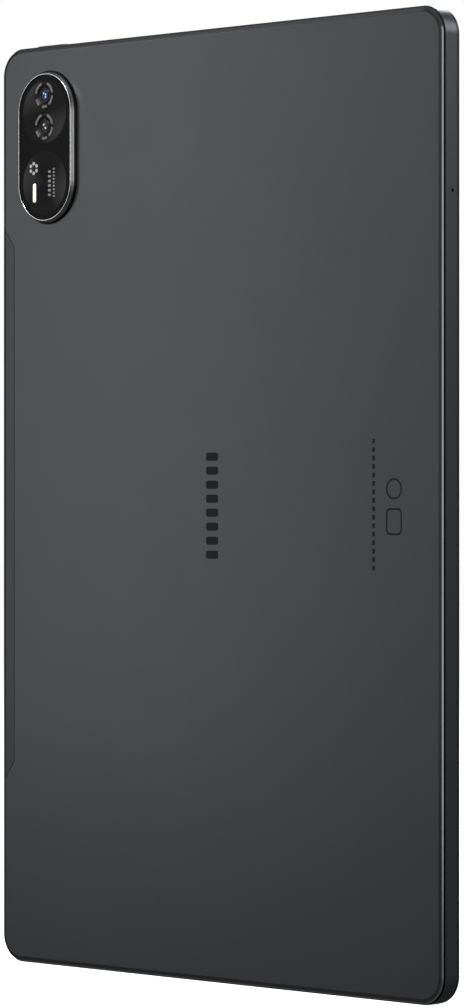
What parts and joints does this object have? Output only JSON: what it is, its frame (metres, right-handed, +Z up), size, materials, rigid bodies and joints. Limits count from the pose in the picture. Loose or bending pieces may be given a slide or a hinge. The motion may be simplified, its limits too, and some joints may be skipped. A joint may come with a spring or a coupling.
{
  "type": "tablet computer",
  "caption": "Slim tablet computer with a metal back, raised round-ended camera island, glass front, side buttons and a sliding card tray.",
  "frame": {"origin": "middle of the width and of the overall thickness, at the bottom short edge", "axes": "+Z up along the long side; +Y out of the back, where the camera island is; -Y out of the screen; +X towards the long side that carries the volume rocker"},
  "size_m": [0.1688, 0.0088, 0.2574],
  "materials": {
    "rear_cover": "bead-blasted, anodised dark grey, polished chamfer",
    "side_band": "satin, anodised dark grey",
    "antenna_plastic": "matte, painted to match the cover",
    "bezel_plastic": "fine matte black",
    "screen_glass": "polished, black printed border",
    "camera_glass": "polished, black printed underside",
    "trim_metal": "polished rim, dark coated wall",
    "lens_glass": "polished, coated",
    "flash_plastic": "frosted, cream white",
    "adhesive_foam": "matt black foam",
    "display_stack": "smooth dark film",
    "backlight_film": "satin white film",
    "mid_plate_metal": "as cast, satin",
    "circuit_board": "solder resist with copper pads",
    "shield_metal": "tinned sheet",
    "steel": "bright",
    "battery_pouch": "laminated foil, dark label",
    "flex_film": "polyimide film",
    "graphite": "soft grey graphite film",
    "black_plastic": "fine matte black"
  },
  "bodies": {
    "body": {"antenna_flex": "flex_film", "antenna_strip": "antenna_plastic", "backlight_unit": "backlight_film", "battery_cell_left": "battery_pouch", "battery_cell_right": "battery_pouch", "battery_protection_board": "circuit_board", "board_link_flex": "flex_film", "board_screw_1": "steel", "board_screw_2": "steel", "board_screw_3": "steel", "board_screw_4": "steel", "board_screw_5": "steel", "board_screw_6": "steel", "bottom_left_speaker": "black_plastic", "bottom_left_speaker_mesh": "black_plastic", "bottom_microphone": "shield_metal", "bottom_right_speaker": "black_plastic", "bottom_right_speaker_mesh": "black_plastic", "camera_glass": "camera_glass", "camera_island_ring": "trim_metal", "card_reader": "shield_metal", "charging_board": "circuit_board", "cover_glass": "screen_glass", "cover_seal": "adhesive_foam", "display_bezel": "bezel_plastic", "display_flex": "flex_film", "display_panel": "display_stack", "flash_led_board": "circuit_board", "flash_lens": "flash_plastic", "front_camera": "black_plastic", "glass_adhesive": "adhesive_foam", "graphite_sheet": "graphite", "main_camera_housing": "black_plastic", "main_lens_ring": "trim_metal", "main_lens_window": "lens_glass", "mainboard": "circuit_board", "memory_shield": "shield_metal", "mid_plate": "mid_plate_metal", "power_dome_switch": "steel", "power_key_flex": "flex_film", "processor_shield": "shield_metal", "radio_shield": "shield_metal", "rear_cover": "rear_cover", "second_camera_module": "black_plastic", "second_lens_ring": "trim_metal", "second_lens_window": "lens_glass", "side_frame": "side_band", "side_key_flex": "flex_film", "side_microphone": "shield_metal", "top_left_speaker": "black_plastic", "top_left_speaker_mesh": "black_plastic", "top_right_speaker": "black_plastic", "top_right_speaker_mesh": "black_plastic", "usb_c_receptacle": "steel", "volume_down_dome_switch": "steel", "volume_up_dome_switch": "steel"},
    "power_key": {"power_button": "side_band"},
    "volume_key": {"volume_rocker": "side_band"},
    "card_carrier": {"card_tray": "side_band"},
    "focus_lens": {"main_camera_barrel": "black_plastic"}
  },
  "joints": [
    {"name": "power_press", "type": "slide", "parent": "body", "child": "power_key", "axis": [0, 0, -1], "range_m": [0, 0.0003], "stiffness_N_per_m": 400},
    {"name": "volume_tilt", "type": "hinge", "parent": "body", "child": "volume_key", "pos_m": [0.08235, -0.00055, 0.224], "axis": [0, 1, 0], "range_deg": [-1.5, 1.5], "stiffness_Nm_per_rad": 0.1},
    {"name": "tray_slide", "type": "slide", "parent": "body", "child": "card_carrier", "axis": [1, 0, 0], "range_m": [0, 0.018]},
    {"name": "focus_travel", "type": "slide", "parent": "body", "child": "focus_lens", "axis": [0, 1, 0], "range_m": [0, 0.0003], "stiffness_N_per_m": 50}
  ]
}
